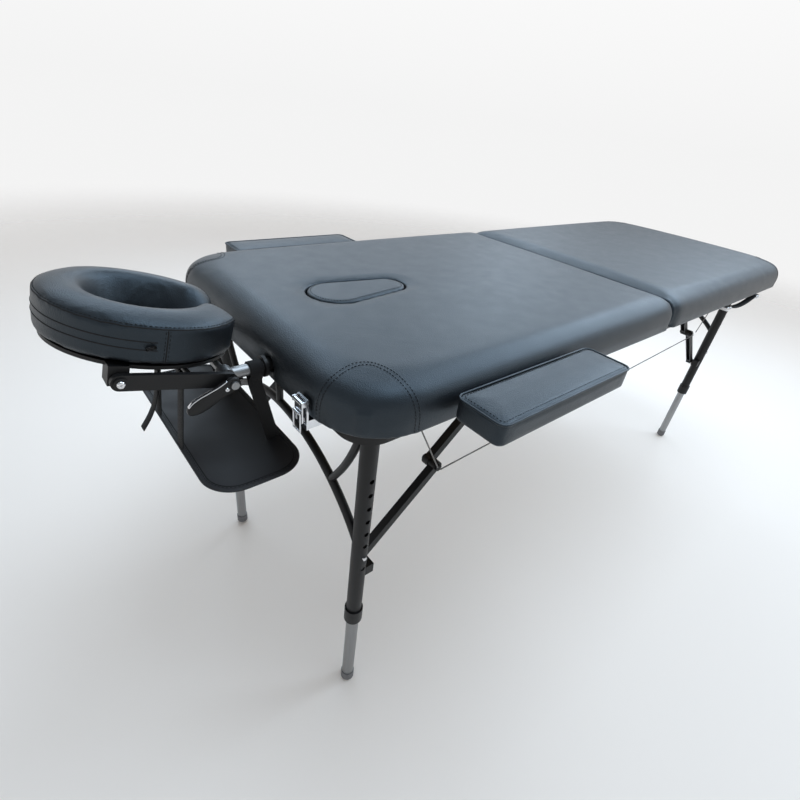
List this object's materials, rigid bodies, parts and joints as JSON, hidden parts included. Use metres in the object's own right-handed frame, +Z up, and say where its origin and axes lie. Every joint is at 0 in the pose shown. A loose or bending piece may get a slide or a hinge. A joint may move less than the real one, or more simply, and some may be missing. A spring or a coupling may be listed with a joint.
{
  "type": "folding massage table",
  "caption": "Two-section folding massage table with face cradle, arm sling, two arm rests, height-set legs, folding stays and draw latches.",
  "frame": {"origin": "on the floor, under the middle of the whole length and width", "axes": "+X from the head end to the foot end, +Y to the far side, +Z up"},
  "size_m": [2.1348, 0.892, 0.8618],
  "materials": {
    "leatherette": "coated cloth, fine grain, satin",
    "leatherette_side": "coated cloth, fine grain, satin",
    "black_metal": "powder coat, satin",
    "silver_metal": "drawn, satin",
    "chrome": "bright",
    "black_plastic": "moulded, fine texture",
    "rubber": "matt",
    "deck": "birch ply, lacquered",
    "webbing": "woven",
    "sling_cloth": "coated, satin",
    "steel_cable": "plastic sheathed"
  },
  "bodies": {
    "head_section": {"head_frame_rails": "black_metal", "head_deck_board": "deck", "head_pad": "leatherette", "head_hinge_leaves": "chrome", "head_brackets": "black_plastic", "head_carry_handle": "webbing", "latch_bases": "chrome", "cradle_sockets": "black_plastic", "head_cables": "steel_cable"},
    "foot_section": {"foot_frame_rails": "black_metal", "foot_deck_board": "deck", "foot_pad": "leatherette", "foot_hinge_leaves": "chrome", "foot_brackets": "black_plastic", "foot_carry_handle": "webbing", "latch_strikes": "chrome", "foot_cables": "steel_cable"},
    "plug": {"face_hole_plug": "leatherette"},
    "head_legs": {"head_leg_tubes": "black_metal", "head_leg_bracing": "black_metal", "head_leg_collars": "black_plastic"},
    "head_upper_stays": {"head_upper_links": "black_metal"},
    "head_lower_stays": {"head_lower_links": "black_metal"},
    "head_near_leg": {"head_near_inner_leg": "silver_metal", "head_near_foot_tip": "rubber"},
    "head_near_snap_button": {"head_near_button": "chrome"},
    "head_far_leg": {"head_far_inner_leg": "silver_metal", "head_far_foot_tip": "rubber"},
    "head_far_snap_button": {"head_far_button": "chrome"},
    "foot_legs": {"foot_leg_tubes": "black_metal", "foot_leg_bracing": "black_metal", "foot_leg_collars": "black_plastic"},
    "foot_upper_stays": {"foot_upper_links": "black_metal"},
    "foot_lower_stays": {"foot_lower_links": "black_metal"},
    "foot_near_leg": {"foot_near_inner_leg": "silver_metal", "foot_near_foot_tip": "rubber"},
    "foot_near_snap_button": {"foot_near_button": "chrome"},
    "foot_far_leg": {"foot_far_inner_leg": "silver_metal", "foot_far_foot_tip": "rubber"},
    "foot_far_snap_button": {"foot_far_button": "chrome"},
    "armrest_near": {"armrest_near_cushion": "leatherette", "armrest_near_base": "black_plastic"},
    "latch_near_lever": {"latch_lever_near": "chrome"},
    "latch_near_bail": {"latch_bail_near": "chrome"},
    "armrest_far": {"armrest_far_cushion": "leatherette", "armrest_far_base": "black_plastic"},
    "latch_far_lever": {"latch_lever_far": "chrome"},
    "latch_far_bail": {"latch_bail_far": "chrome"},
    "cradle": {"cradle_base": "silver_metal", "sling_panel": "sling_cloth", "sling_rear_straps": "webbing", "sling_front_straps": "webbing"},
    "cradle_arm_pair": {"cradle_arms": "black_plastic"},
    "cradle_headrest": {"cradle_platform": "black_plastic", "face_cushion": "leatherette_side"},
    "cradle_cam": {"cradle_lever": "black_plastic"}
  },
  "joints": [
    {"name": "centre_fold", "type": "hinge", "parent": "head_section", "child": "foot_section", "pos_m": [0.12779, 0, 0.68], "axis": [0, 1, 0], "range_deg": [0, 180], "deforming": ["sling_panel", "sling_rear_straps", "sling_front_straps", "head_cables", "foot_cables"]},
    {"name": "head_leg_fold", "type": "hinge", "parent": "head_section", "child": "head_legs", "pos_m": [-0.71921, 0, 0.7015], "axis": [0, -1, 0], "range_deg": [0, 90]},
    {"name": "head_upper_stay_fold", "type": "hinge", "parent": "head_section", "child": "head_upper_stays", "pos_m": [-0.30921, 0, 0.719], "axis": [0, 1, 0], "range_deg": [0, 43.24]},
    {"name": "head_lower_stay_fold", "type": "hinge", "parent": "head_legs", "child": "head_lower_stays", "pos_m": [-0.70021, 0, 0.366], "axis": [0, -1, 0], "range_deg": [0, 46.78]},
    {"name": "head_near_leg_height", "type": "slide", "parent": "head_legs", "child": "head_near_leg", "axis": [0, 0, 1], "range_m": [-0.03, 0.18], "deforming": ["head_near_button"]},
    {"name": "head_near_button_press", "type": "slide", "parent": "head_near_leg", "child": "head_near_snap_button", "axis": [0, 1, 0], "range_m": [0, 0.006], "stiffness_N_per_m": 400},
    {"name": "head_far_leg_height", "type": "slide", "parent": "head_legs", "child": "head_far_leg", "axis": [0, 0, 1], "range_m": [-0.03, 0.18], "deforming": ["head_far_button"]},
    {"name": "head_far_button_press", "type": "slide", "parent": "head_far_leg", "child": "head_far_snap_button", "axis": [0, -1, 0], "range_m": [0, 0.006], "stiffness_N_per_m": 400},
    {"name": "foot_leg_fold", "type": "hinge", "parent": "foot_section", "child": "foot_legs", "pos_m": [0.97479, 0, 0.7015], "axis": [0, 1, 0], "range_deg": [0, 90]},
    {"name": "foot_upper_stay_fold", "type": "hinge", "parent": "foot_section", "child": "foot_upper_stays", "pos_m": [0.56479, 0, 0.719], "axis": [0, -1, 0], "range_deg": [0, 43.24]},
    {"name": "foot_lower_stay_fold", "type": "hinge", "parent": "foot_legs", "child": "foot_lower_stays", "pos_m": [0.95579, 0, 0.366], "axis": [0, 1, 0], "range_deg": [0, 46.78]},
    {"name": "foot_near_leg_height", "type": "slide", "parent": "foot_legs", "child": "foot_near_leg", "axis": [0, 0, 1], "range_m": [-0.03, 0.18], "deforming": ["foot_near_button"]},
    {"name": "foot_near_button_press", "type": "slide", "parent": "foot_near_leg", "child": "foot_near_snap_button", "axis": [0, 1, 0], "range_m": [0, 0.006], "stiffness_N_per_m": 400},
    {"name": "foot_far_leg_height", "type": "slide", "parent": "foot_legs", "child": "foot_far_leg", "axis": [0, 0, 1], "range_m": [-0.03, 0.18], "deforming": ["foot_far_button"]},
    {"name": "foot_far_button_press", "type": "slide", "parent": "foot_far_leg", "child": "foot_far_snap_button", "axis": [0, -1, 0], "range_m": [0, 0.006], "stiffness_N_per_m": 400},
    {"name": "plug_lift", "type": "slide", "parent": "head_section", "child": "plug", "axis": [0, 0, 1], "range_m": [0, 0.12]},
    {"name": "armrest_near_slide", "type": "slide", "parent": "head_section", "child": "armrest_near", "axis": [0, -1, 0], "range_m": [0, 0.085]},
    {"name": "latch_near_turn", "type": "hinge", "parent": "head_section", "child": "latch_near_lever", "pos_m": [-0.81171, -0.228, 0.738], "axis": [0, 1, 0], "range_deg": [0, 110]},
    {"name": "latch_near_bail_swing", "type": "hinge", "parent": "latch_near_lever", "child": "latch_near_bail", "pos_m": [-0.81491, -0.228, 0.722], "axis": [0, 1, 0], "range_deg": [0, 80]},
    {"name": "armrest_far_slide", "type": "slide", "parent": "head_section", "child": "armrest_far", "axis": [0, 1, 0], "range_m": [0, 0.085]},
    {"name": "latch_far_turn", "type": "hinge", "parent": "head_section", "child": "latch_far_lever", "pos_m": [-0.81171, 0.228, 0.738], "axis": [0, 1, 0], "range_deg": [0, 110]},
    {"name": "latch_far_bail_swing", "type": "hinge", "parent": "latch_far_lever", "child": "latch_far_bail", "pos_m": [-0.81491, 0.228, 0.722], "axis": [0, 1, 0], "range_deg": [0, 80]},
    {"name": "cradle_slide", "type": "slide", "parent": "head_section", "child": "cradle", "axis": [-1, 0, 0], "range_m": [0, 0.15]},
    {"name": "cradle_raise", "type": "hinge", "parent": "cradle", "child": "cradle_arm_pair", "pos_m": [-0.86421, 0, 0.7315], "axis": [0, 1, 0], "range_deg": [-20, 12], "deforming": ["sling_front_straps"]},
    {"name": "platform_tilt", "type": "hinge", "parent": "cradle_arm_pair", "child": "cradle_headrest", "pos_m": [-1.00121, 0, 0.765], "axis": [0, 1, 0], "range_deg": [-25, 2]},
    {"name": "cradle_cam_turn", "type": "hinge", "parent": "cradle", "child": "cradle_cam", "pos_m": [-0.86421, 0, 0.7315], "axis": [0, -1, 0], "range_deg": [0, 95]}
  ],
  "couplings": [
    {"joint": "head_leg_fold", "follows": "centre_fold", "ratio": 0.5},
    {"joint": "head_upper_stay_fold", "follows": "centre_fold", "ratio": 0.24016},
    {"joint": "head_lower_stay_fold", "follows": "centre_fold", "ratio": 0.25984},
    {"joint": "foot_leg_fold", "follows": "centre_fold", "ratio": 0.5},
    {"joint": "foot_upper_stay_fold", "follows": "centre_fold", "ratio": 0.24016},
    {"joint": "foot_lower_stay_fold", "follows": "centre_fold", "ratio": 0.25984}
  ]
}
